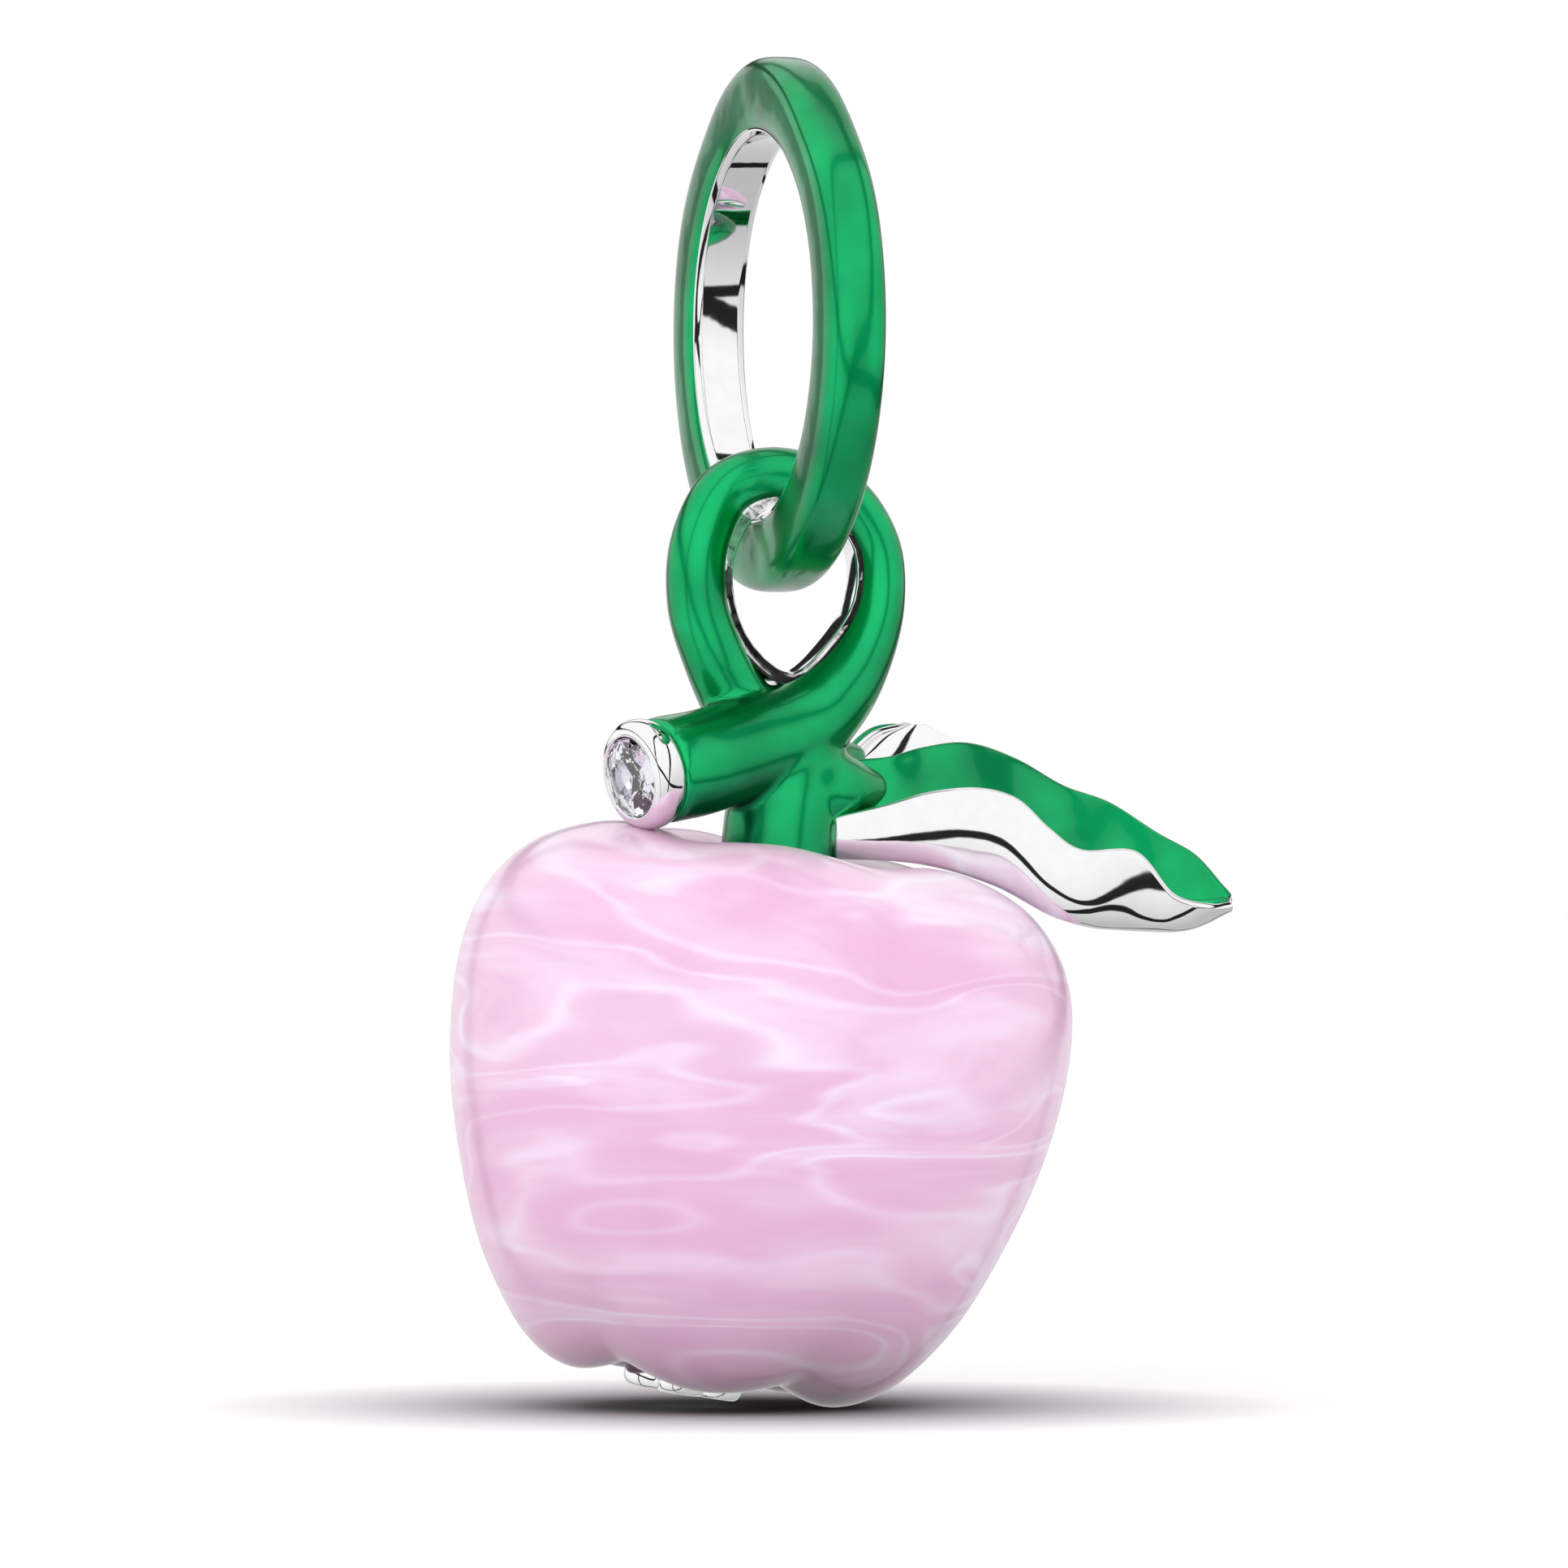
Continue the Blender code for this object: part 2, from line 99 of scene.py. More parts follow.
def linear(text):
    """An sRGB hex colour as linear red, green, blue."""
    value = np.array([int(text[k:k + 2], 16) for k in (1, 3, 5)]) / 255
    return tuple(np.where(value <= 0.04045, value / 12.92, ((value + 0.055) / 1.055) ** 2.4))


class CharmSizes(bpy.types.PropertyGroup):
    """Sizes of the finished surfaces."""

    voxel: FloatProperty(name="Stem grain", description="Mesh size of the blended stem", default=0.042 * MM,
                         min=0.02 * MM, unit="LENGTH", precision=6)
    blend_steps: IntProperty(name="Stem blend", description="Smoothing passes where branches meet",
                             default=90, min=0, max=400)
    leaf_silver: FloatProperty(name="Leaf silver", description="Thickness of the leaf's silver sheet",
                               default=0.20 * MM, unit="LENGTH", precision=6)
    leaf_enamel: FloatProperty(name="Leaf enamel", description="Height of enamel above the leaf's silver",
                               default=0.13 * MM, unit="LENGTH", precision=6)
    lobe_drop: FloatProperty(name="Lobe drop", description="How far the lobes hang below their creases",
                             default=0.40 * MM, unit="LENGTH", precision=6)
    petal_reach: FloatProperty(name="Petal reach", description="Radius of the calyx at its petal tips",
                               default=1.30 * MM, unit="LENGTH", precision=6)
    stone_radius: FloatProperty(name="Stone radius", description="Girdle radius of the set stone",
                                default=0.80 * MM, unit="LENGTH", precision=6)


def colour(name, text, description):
    """A colour setting whose default is an sRGB hex colour."""
    return FloatVectorProperty(name=name, description=description, subtype="COLOR", size=3,
                               min=0.0, max=1.0, default=linear(text))


class CharmColours(bpy.types.PropertyGroup):
    """Colours of the finishes."""

    silver: colour("Silver", "#F4F4F5", "Polished sterling silver")
    # The two enamel colours carry painted light and shade. The bright one is a painted glow of light coming
    # back off the silver beneath. The deep one is real thicker enamel in random pools, and also painted
    # shade where the surface turns away from the camera.
    enamel: colour("Enamel", "#00C070", "Green enamel where light comes back off the silver")
    enamel_deep_and_painted_shade: colour("Deep enamel", "#005A30", "Green enamel where it lies thickest")
    glass: colour("Glass", "#F1CCE6", "Body of the pink glass")
    glass_pale: colour("Pale glass", "#F9EAFD", "White threads drawn through the glass")
    glass_deep: colour("Deep glass", "#EBBBDB", "Clearer pink between the threads")
    stone: colour("Stone", "#E6EAF8", "Clear cut stone")
    floor: colour("Floor", "#FBFBFB", "Studio floor")


# --- Surfaces -----------------------------------------------------------------------------------

def smooth(points, count):
    """Points at even steps of the Catmull-Rom cubic through the given ones: each span blends four."""
    points = np.asarray(points, float)
    ends = np.vstack((2 * points[0] - points[1], points, 2 * points[-1] - points[-2]))
    where = np.linspace(0, len(points) - 1, count)
    base = np.minimum(where.astype(int), len(points) - 2)
    t = (where - base)[:, None]
    a, b, c, d = (ends[base + k] for k in range(4))
    return 0.5 * (2 * b + (c - a) * t + (2 * a - 5 * b + 4 * c - d) * t**2
                  + (3 * b - a - 3 * c + d) * t**3)


def smooth_closed(points, count):
    """The same cubic round a closed loop, with its first point not repeated."""
    points = np.asarray(points, float)
    lap = np.vstack((points[-3:], points, points[:4]))
    long = smooth(lap, 64 * (len(lap) - 1) + 1)[64 * 3:64 * (3 + len(points))]
    where = np.arange(count) * len(long) / count
    index = np.arange(len(long) + 1)
    long = np.vstack((long, long[:1]))
    return np.stack([np.interp(where, index, long[:, k]) for k in range(long.shape[1])], axis=1)


def unit(vectors):
    """Vectors scaled to length one."""
    return vectors / np.linalg.norm(vectors, axis=-1, keepdims=True)


def drop_point(points):
    """Row-frame millimetres from the drop's frame: turned about the vertical, then set on the axis."""
    points = np.asarray(points, float)
    c, s = math.cos(DROP_TURN), math.sin(DROP_TURN)
    turn = np.array(((c, s, 0), (-s, c, 0), (0, 0, 1)))
    return points @ turn + SWING


def surface(name, grid, wrap=(False, True), ends=False, finish=None):
    """A mesh on a grid of points: quads between neighbours, joined round where the grid wraps.

    With ends, the first and last rows are closed by fans on their mean point.
    """
    rows, columns = grid.shape[:2]
    index = np.arange(rows * columns).reshape(rows, columns)
    if wrap[0]:
        index = np.vstack((index, index[:1]))
    if wrap[1]:
        index = np.hstack((index, index[:, :1]))
    quads = np.stack((index[:-1, :-1], index[:-1, 1:], index[1:, 1:], index[1:, :-1]), axis=2)
    points = grid.reshape(-1, 3)
    faces = quads.reshape(-1, 4).tolist()
    if ends:
        points = np.vstack((points, grid[0].mean(axis=0), grid[-1].mean(axis=0)))
        for row, pole, order in ((index[0], rows * columns, 1), (index[-1], rows * columns + 1, -1)):
            fan = np.stack((np.full(len(row) - 1, pole), row[1:], row[:-1]), axis=1)
            faces += fan[:, ::order].tolist()
    mesh = bpy.data.meshes.new(name)
    mesh.from_pydata((points * MM).tolist(), [], faces)
    mesh.update()
    made = bpy.data.objects.new(name, mesh)
    bpy.context.scene.collection.objects.link(made)
    point_out(mesh)
    if finish:
        mesh.materials.append(finish)
    mesh.shade_smooth()
    return made


def point_out(mesh):
    """Turn a closed mesh right side out: its signed volume, from its triangles, has to be positive."""
    mesh.calc_loop_triangles()
    corners = np.empty(len(mesh.loop_triangles) * 3, int)
    mesh.loop_triangles.foreach_get("vertices", corners)
    places = np.empty(len(mesh.vertices) * 3)
    mesh.vertices.foreach_get("co", places)
    a, b, c = places.reshape(-1, 3)[corners.reshape(-1, 3)].transpose(1, 0, 2)
    if np.einsum("ij,ij->", a, np.cross(b, c)) < 0:
        mesh.flip_normals()


def tube(stations, across, count=120, sides=48, grow=0.0):
    """A round section carried along the smooth curve through (u, v, w, radius) stations.

    Each ring lies square to the curve, on the curve's direction crossed with a fixed vector.
    """
    run = smooth(stations, count)
    place, radius = run[:, :3], run[:, 3] + grow
    ahead = unit(np.gradient(place, axis=0))
    side = unit(np.cross(ahead, np.asarray(across, float)))
    up = np.cross(side, ahead)
    angle = np.linspace(0, 2 * math.pi, sides, endpoint=False)
    return (place[:, None] + radius[:, None, None]
            * (side[:, None] * np.cos(angle)[:, None] + up[:, None] * np.sin(angle)[:, None]))


def domed(grid, bulge):
    """Round off a tube's last end: three shrinking rings that step out along its direction."""
    centre = grid[-1].mean(axis=0)
    ahead = unit(centre - grid[-2].mean(axis=0))
    steps = np.array((0.35, 0.7, 1.0)) * math.pi / 2
    rings = [centre + (grid[-1] - centre) * max(math.cos(s), 0.02) + ahead * bulge * math.sin(s)
             for s in steps]
    return np.concatenate((grid, rings))


def turned(name, profile, place, axis, finish, sides=96):
    """A profile (radius, height) turned about an axis: a ring of points for each profile point."""
    axis = unit(np.asarray(axis, float))
    side = unit(np.cross(axis, (0.0, 1.0, 0.3)))
    up = np.cross(axis, side)
    angle = np.linspace(0, 2 * math.pi, sides, endpoint=False)
    rim = side * np.cos(angle)[:, None] + up * np.sin(angle)[:, None]
    profile = np.asarray(profile, float)
    grid = np.asarray(place) + profile[:, :1, None] * rim + profile[:, 1:, None] * axis
    return surface(name, drop_point(grid), ends=True, finish=finish)


# --- Materials ----------------------------------------------------------------------------------

def node(tree, kind, links=None, **settings):
    """Add a node, set its settings or its sockets by name or number, and link its inputs."""
    made = tree.nodes.new(kind)
    for key, value in settings.items():
        if hasattr(made, key):
            setattr(made, key, value)
        else:
            made.inputs[key.replace("_", " ")].default_value = value
    for key, value in (links or {}).items():
        if hasattr(value, "links"):
            tree.links.new(value, made.inputs[key])
        else:
            made.inputs[key].default_value = value
    return made


def begin(name, **sockets):
    """A new Principled material with its uniform values set on the shader's own sockets."""
    made = bpy.data.materials.new(name)
    made.use_nodes = True
    shader = made.node_tree.nodes["Principled BSDF"]
    for key, value in sockets.items():
        shader.inputs[key.replace("_", " ")].default_value = value
    return made, made.node_tree, shader


def object_mm(tree, turn=(0, 0, 0), scale=(1, 1, 1)):
    """Object coordinates in millimetres, turned and stretched."""
    coords = node(tree, "ShaderNodeTexCoord")
    whole = tuple(1000.0 * s for s in scale)
    place = node(tree, "ShaderNodeMapping", {"Vector": coords.outputs["Object"], "Rotation": turn,
                                             "Scale": whole})
    return place.outputs[0]


def maths(tree, operation, *values):
    """A Math node's result from sockets or numbers."""
    return node(tree, "ShaderNodeMath", dict(enumerate(values)), operation=operation).outputs[0]


def ramp(tree, value, *stops):
    """A colour ramp of (position, linear colour) stops."""
    made = node(tree, "ShaderNodeValToRGB", {"Fac": value})
    marks = made.color_ramp.elements
    while len(marks) < len(stops):
        marks.new(0.5)
    for mark, (place, shade) in zip(marks, stops):
        mark.position = place
        mark.color = (*shade, 1.0)
    return made.outputs["Color"]


def polished_silver(colours):
    """Sterling silver, cast and mirror polished: near-white, with a faint orange-peel of polish."""
    made, tree, shader = begin("sterling_silver_polished", Metallic=1.0)
    at = object_mm(tree)
    peel = node(tree, "ShaderNodeTexNoise", {"Vector": at, "Scale": 1.4, "Detail": 2.0})
    haze = node(tree, "ShaderNodeTexNoise", {"Vector": at, "Scale": 4.0, "Detail": 3.0})
    bump = node(tree, "ShaderNodeBump", {"Height": peel.outputs["Fac"], "Strength": 0.05,
                                         "Distance": 0.05 * MM})
    rough = node(tree, "ShaderNodeMapRange", {"Value": haze.outputs["Fac"], "To Min": 0.025,
                                              "To Max": 0.065})
    shade = ramp(tree, haze.outputs["Fac"], (0.3, tuple(0.96 * c for c in colours.silver)),
                 (0.7, tuple(colours.silver)))
    tree.links.new(shade, shader.inputs["Base Color"])
    tree.links.new(rough.outputs[0], shader.inputs["Roughness"])
    tree.links.new(bump.outputs[0], shader.inputs["Normal"])
    return made


def fired_enamel(colours):
    """Translucent green enamel flowed over silver: a tinted metal glow under a hard clear gloss, with more
    glow painted where it faces the camera and shade painted where it turns away.
    """
    made, tree, shader = begin("green_enamel_over_silver", Metallic=0.88, Coat_Weight=0.35,
                               Coat_Roughness=0.02, Coat_IOR=1.40)
    at = object_mm(tree)
    pool = node(tree, "ShaderNodeTexNoise", {"Vector": at, "Scale": 0.55, "Detail": 2.0})
    wave = node(tree, "ShaderNodeTexNoise", {"Vector": at, "Scale": 1.1, "Detail": 1.0})
    # Painted light and shade: the facing term gives face-on enamel the bright glow colour and glancing
    # enamel the deep shade colour. The pool noise adds random thicker patches of the enamel's own tone.
    painted_light_facing = node(tree, "ShaderNodeLayerWeight", {"Blend": 0.35})
    depth = maths(tree, "ADD", maths(tree, "MULTIPLY", pool.outputs["Fac"], 0.55),
                  maths(tree, "MULTIPLY", painted_light_facing.outputs["Facing"], 0.55))
    shade = ramp(tree, depth, (0.22, tuple(colours.enamel)), (0.75, tuple(colours.enamel_deep_and_painted_shade)))
    rough = node(tree, "ShaderNodeMapRange", {"Value": pool.outputs["Fac"], "To Min": 0.20,
                                              "To Max": 0.30})
    bump = node(tree, "ShaderNodeBump", {"Height": wave.outputs["Fac"], "Strength": 0.10,
                                         "Distance": 0.10 * MM})
    tree.links.new(shade, shader.inputs["Base Color"])
    tree.links.new(rough.outputs[0], shader.inputs["Roughness"])
    tree.links.new(bump.outputs[0], shader.inputs["Normal"])
    tree.links.new(bump.outputs[0], shader.inputs["Coat Normal"])
    return made


def swirled_glass(colours):
    """Opalescent lampwork glass: white threads drawn through milky pink, under a wet gloss.

    The threads are level lines of a stretched noise that a slower noise has bent, so they run
    side by side, fold over and close into long eyes.
    """
    made, tree, shader = begin("pink_lampwork_glass", Roughness=0.22, IOR=1.45, Coat_Weight=0.18,
                               Coat_Roughness=0.06, Subsurface_Weight=0.25,
                               Subsurface_Scale=1.2 * MM)
    shader.inputs["Subsurface Radius"].default_value = (1.0, 0.7, 0.9)
    at = object_mm(tree, turn=(0.0, math.radians(26), math.radians(18)), scale=(0.21, 0.21, 0.85))
    bend = node(tree, "ShaderNodeTexNoise", {"Vector": at, "Scale": 0.34, "Detail": 2.0,
                                             "Roughness": 0.45})
    push = node(tree, "ShaderNodeVectorMath", {0: bend.outputs["Color"], 1: (0.5, 0.5, 0.5)},
                operation="SUBTRACT")
    push = node(tree, "ShaderNodeVectorMath", {0: push.outputs[0], "Scale": 5.5}, operation="SCALE")
    bent = node(tree, "ShaderNodeVectorMath", {0: at, 1: push.outputs[0]}, operation="ADD")
    flow = node(tree, "ShaderNodeTexNoise", {"Vector": bent.outputs[0], "Scale": 0.30, "Detail": 2.0,
                                             "Roughness": 0.38})
    veil = node(tree, "ShaderNodeTexNoise", {"Vector": bent.outputs[0], "Scale": 0.55, "Detail": 4.0,
                                             "Roughness": 0.55})
    level = flow.outputs["Fac"]

    def threads(lines, sharp):
        """Thin bright lines where the flow passes each of its levels."""
        wave = maths(tree, "COSINE", maths(tree, "MULTIPLY", level, lines * 2 * math.pi))
        lifted = maths(tree, "MULTIPLY_ADD", wave, 0.5, 0.5)
        return maths(tree, "POWER", lifted, sharp)

    fine = maths(tree, "MULTIPLY", threads(13, 4.0), veil.outputs["Fac"])
    broad = maths(tree, "MULTIPLY", threads(6, 1.6), 0.40)
    milk = node(tree, "ShaderNodeMapRange", {"Value": veil.outputs["Fac"], "From Min": 0.36,
                                             "From Max": 0.66}, interpolation_type="SMOOTHSTEP")
    total = maths(tree, "ADD", maths(tree, "MULTIPLY", fine, 0.75),
                  maths(tree, "ADD", maths(tree, "MULTIPLY", broad, milk.outputs[0]),
                        maths(tree, "MULTIPLY", milk.outputs[0], 0.30)))
    shade = ramp(tree, total, (0.0, tuple(colours.glass_deep)), (0.32, tuple(colours.glass)),
                 (1.0, tuple(colours.glass_pale)))
    tree.links.new(shade, shader.inputs["Base Color"])
    return made


def cut_stone(colours):
    """Clear cubic zirconia, cut and polished: high index, so its back facets flash light and dark."""
    made, tree, shader = begin("clear_stone_cut", Roughness=0.0, IOR=2.15, Transmission_Weight=1.0)
    at = object_mm(tree)
    tint = node(tree, "ShaderNodeTexNoise", {"Vector": at, "Scale": 2.5})
    shade = ramp(tree, tint.outputs["Fac"], (0.2, tuple(colours.stone)), (0.8, (1.0, 1.0, 1.0)))
    tree.links.new(shade, shader.inputs["Base Color"])
    return made


def finish(name):
    """The charm's material of that name, made once."""
    makers = {"silver": ("sterling_silver_polished", polished_silver),
              "enamel": ("green_enamel_over_silver", fired_enamel),
              "glass": ("pink_lampwork_glass", swirled_glass),
              "stone": ("clear_stone_cut", cut_stone)}
    called, maker = makers[name]
    return bpy.data.materials.get(called) or maker(bpy.context.scene.charm_colours)


def keep_node(name, material):
    """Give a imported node, whose shape stays, its material."""
    piece = frame["nodes"][name]
    piece.data.materials.clear()
    piece.data.materials.append(material)


# --- Ring ---------------------------------------------------------------------------------------

RING_SQUARENESS = 3.5
# Dents and swellings round the ring: degrees from +Y, half width in degrees, share of the thickness
RING_DENTS = ((50, 17, 0.11), (130, 17, 0.11), (90, 14, -0.03), (195, 20, -0.02))
# The bare band's corners as (across, out), bevelled where the bracelet bears
BAND = ((-0.42, 0.0), (0.42, 0.0), (0.56, 0.10), (0.53, 0.30), (0.44, 1.15), (-0.44, 1.15),
        (-0.53, 0.30), (-0.56, 0.10))
BAND_CORNER = 0.035


def rounded(half_x, half_y, start, end, count, squareness=RING_SQUARENESS):
    """A squared-off ellipse between two angles in degrees: cosine and sine to the power 2 over n."""
    angle = np.radians(np.linspace(start, end, count))
    c, s = np.cos(angle), np.sin(angle)
    return np.stack((half_x * np.sign(c) * np.abs(c) ** (2 / squareness),
                     half_y * np.sign(s) * np.abs(s) ** (2 / squareness)), axis=1)


def ring_relief(angle):
    """The share of its radial thickness that the ring keeps: one, less a bell at each dent."""
    relief = np.ones_like(angle)
    for centre, width, depth in RING_DENTS:
        away = (np.degrees(angle) - centre + 180) % 360 - 180
        relief -= depth * np.exp(-(away / width) ** 2)
    return relief


def ring_surface(name, section, material):
    """A section (across, out) carried round a circle of the ring's inner radius, scaled by relief."""
    angles = np.linspace(0, 2 * math.pi, 360, endpoint=False)
    radius = RING_INNER + section[None, :, 1] * ring_relief(angles)[:, None]
    grid = np.stack((np.broadcast_to(section[:, 0], radius.shape), radius * np.cos(angles)[:, None],
                     radius * np.sin(angles)[:, None] - RING_INNER), axis=2)
    return surface(name, grid, wrap=(True, True), finish=material)


def rounded_corners(points, reach, count=7):
    """Each corner replaced by a quadratic arc that starts and ends a reach away along its sides."""
    points = np.asarray(points, float)
    before, after = np.roll(points, 1, axis=0), np.roll(points, -1, axis=0)
    lead = points + unit(before - points) * reach
    leave = points + unit(after - points) * reach
    t = np.linspace(0, 1, count)[None, :, None]
    arcs = (1 - t) ** 2 * lead[:, None] + 2 * t * (1 - t) * points[:, None] + t**2 * leave[:, None]
    return arcs.reshape(-1, 2)


class CHARM_OT_ring(bpy.types.Operator):
    """Make the carrier ring: a bevelled silver band with enamel flowed round its outside"""

    bl_idname = "charm.ring"
    bl_label = "Carrier ring"

    def execute(self, context):
        """The band is a rounded polygon and the enamel a squared ellipse, both carried round."""
        middle, half = RING_RADIAL / 2, RING_AXIAL / 2
        band = rounded_corners(BAND, BAND_CORNER)
        piece = ring_surface("ring_band_polished", band, finish("silver"))
        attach(piece, "ring")
        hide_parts("ring_band")
        outside = rounded(half, middle, -48, 228, 44)
        inside = rounded(half - ENAMEL, middle - ENAMEL, 226, -46, 30)
        piece = ring_surface("ring_enamel_flowed", np.vstack((outside, inside)) + (0, middle),
                             finish("enamel"))
        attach(piece, "ring")
        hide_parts("ring_enamel")
        return {"FINISHED"}


# --- Stem ---------------------------------------------------------------------------------------

# Stations are (u, v, w, radius).  The loop's left strand starts behind the twig, and its right strand
# runs on forward as the twig
LOOP = ((-0.30, 0.35, -4.10, 0.86), (-0.78, -0.05, -3.25, 0.74), (-1.30, -0.42, -2.20, 0.66),
        (-1.67, -0.60, -1.06, 0.62), (-1.63, -0.60, 0.21, 0.60), (-1.07, -0.40, 1.32, 0.58),
        (0.03, 0.00, 1.66, 0.56), (1.31, 0.45, 1.23, 0.54), (2.02, 0.70, 0.21, 0.53),
        (2.09, 0.72, -0.98, 0.57), (1.75, 0.60, -2.05, 0.68), (1.15, 0.35, -2.98, 0.84),
        (0.25, -0.10, -3.72, 0.99))
TWIG_STRAIGHT = 1.35
TWIG_NECK = 1.07
TWIG_RADIUS = 1.09
TRUNK = ((0.35, 0.05, -4.00, 1.00), (0.12, 0.00, -5.20, 1.16))
TRUNK_FOOT = 1.20
TRUNK_FOOT_H = 4.62
LEAF_ROOT = ((0.10, 0.00, -4.60, 1.00), (0.80, 0.06, -4.85, 0.92), (1.40, 0.26, -4.95, 0.74),
             (2.00, 0.58, -4.95, 0.42))
BACK_ROOT = ((0.10, 0.10, -4.30, 0.80), (0.80, 0.60, -4.30, 0.56), (1.60, 1.40, -4.25, 0.28))

SKIN_SPARE = 0.03
ROOT_DOME = 0.3

# The bare strip round the loop's hole: (u, w) along the edge, and how far v leans with u
LINER = ((0.17, 1.08), (0.95, 0.78), (1.50, 0.10), (1.50, -0.95), (0.96, -1.86), (0.18, -2.50),
         (-0.62, -1.93), (-1.00, -1.05), (-1.02, -0.10), (-0.61, 0.73))
LINER_SLOPE = 0.35
LINER_HALF = 0.36
LINER_DEPTH = 0.26
LINER_PROUD = 0.02
LINER_CORNER = 0.05


def apple_point(side, h):
    """A place in the drop's frame from sideways and up along the apple's leaning axis."""
    s, c = math.sin(APPLE_LEAN), math.cos(APPLE_LEAN)
    return APPLE_CENTRE + np.array((c, 0, -s)) * side + np.array((s, 0, c)) * h


class CHARM_OT_stem(bpy.types.Operator):
    """Make the stem: loop, twig, trunk and leaf roots in one flowing enamel skin, with its liner"""

    bl_idname = "charm.stem"
    bl_label = "Stem and loop"

    def execute(self, context):
        """Tubes carried along smooth curves, fused on a fine voxel grid and eased at their joins."""
        sizes = context.scene.charm_sizes
        seat = TWIG_END - TWIG_OUT * (CUP_LENGTH + 0.02)
        bend = seat - TWIG_OUT * TWIG_STRAIGHT / 3
        straight = seat - TWIG_OUT * TWIG_STRAIGHT
        foot = apple_point(0, TRUNK_FOOT_H)
        twig = ((*straight, TWIG_NECK), (*bend, TWIG_RADIUS), (*seat, TWIG_RADIUS))
        runs = (("loop", (*LOOP, *twig), (0.3, -1.0, 0.0)),
                ("trunk", (*TRUNK, (*foot, TRUNK_FOOT)), (0.0, 1.0, 0.0)),
                ("leaf_root", LEAF_ROOT, (0.0, 1.0, 0.0)),
                ("back_root", BACK_ROOT, (0.0, 0.0, 1.0)))
        tubes = []
        for name, stations, across in runs:
            grid = tube(stations, across, count=40 * len(stations), grow=SKIN_SPARE)
            if name.endswith("root"):
                grid = domed(grid, ROOT_DOME)
            tubes.append(surface(f"stem_{name}", drop_point(grid), ends=True))
        whole = tubes[0]
        with context.temp_override(active_object=whole, selected_editable_objects=tubes):
            bpy.ops.object.join()
        whole.name = "stem_enamel_flowed"
        fuse = whole.modifiers.new("fuse", "REMESH")
        fuse.mode = "VOXEL"
        fuse.voxel_size = sizes.voxel
        ease = whole.modifiers.new("ease", "SMOOTH")
        ease.iterations = sizes.blend_steps
        ease.factor = 0.5
        depsgraph = context.evaluated_depsgraph_get()
        mesh = bpy.data.meshes.new_from_object(whole.evaluated_get(depsgraph))
        whole.modifiers.clear()
        whole.data = mesh
        mesh.name = "stem_enamel_flowed"
        mesh.materials.clear()
        mesh.materials.append(finish("enamel"))
        mesh.shade_smooth()
        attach(whole, "drop")
        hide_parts("stem_enamel")

        path = smooth_closed(LINER, 320)
        place = np.stack((path[:, 0], LINER_SLOPE * path[:, 0], path[:, 1]), axis=1)
        ahead = unit(np.roll(place, -1, axis=0) - np.roll(place, 1, axis=0))
        across = unit(np.array((-LINER_SLOPE, 1.0, 0.0)))
        out = np.cross(ahead, across)
        corners = ((-LINER_HALF, -LINER_PROUD), (LINER_HALF, -LINER_PROUD),
                   (LINER_HALF, LINER_DEPTH), (-LINER_HALF, LINER_DEPTH))
        section = rounded_corners(corners, LINER_CORNER)
        grid = place[:, None] + across * section[None, :, :1] + out[:, None] * section[None, :, 1:]
        strip = surface("loop_liner_polished", drop_point(grid), wrap=(True, True),
                        finish=finish("silver"))
        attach(strip, "drop")
        keep_node("stem_casting", finish("silver"))
        return {"FINISHED"}


# --- Stone --------------------------------------------------------------------------------------

# Rings of facet corners: radius and height in girdle radii, how many, turned by this share of a step
FACET_RINGS = ((0.55, 0.17, 8, 0.5), (0.80, 0.09, 8, 0.0), (1.0, 0.0, 16, 0.25), (1.0, -0.03, 16, 0.25),
               (0.42, -0.34, 8, 0.0))
CULET = -0.50


def brilliant(name, radius, place, axis, material):
    """A round brilliant: the hull of its rings of facet corners and the point under them."""
    axis = unit(np.asarray(axis, float))
    side = unit(np.cross(axis, (0.0, 1.0, 0.3)))
    up = np.cross(axis, side)
    points = []
    for r, h, count, shift in FACET_RINGS:
        angle = (np.arange(count) + shift) * 2 * math.pi / count
        rim = side * np.cos(angle)[:, None] + up * np.sin(angle)[:, None]
        points.append(np.asarray(place) + rim * r * radius + axis * h * radius)
    points.append(np.asarray(place)[None] + axis * CULET * radius)
    mesh = bpy.data.meshes.new(name)
    mesh.from_pydata((drop_point(np.vstack(points)) * MM).tolist(), [], [])
    whole = bpy.data.objects.new(name, mesh)
    bpy.context.scene.collection.objects.link(whole)
    bm = bmesh.new()
    bm.from_mesh(mesh)
    bmesh.ops.convex_hull(bm, input=bm.verts)
    bmesh.ops.recalc_face_normals(bm, faces=bm.faces)
    bm.to_mesh(mesh)
    bm.free()
    mesh.materials.append(material)
    return whole


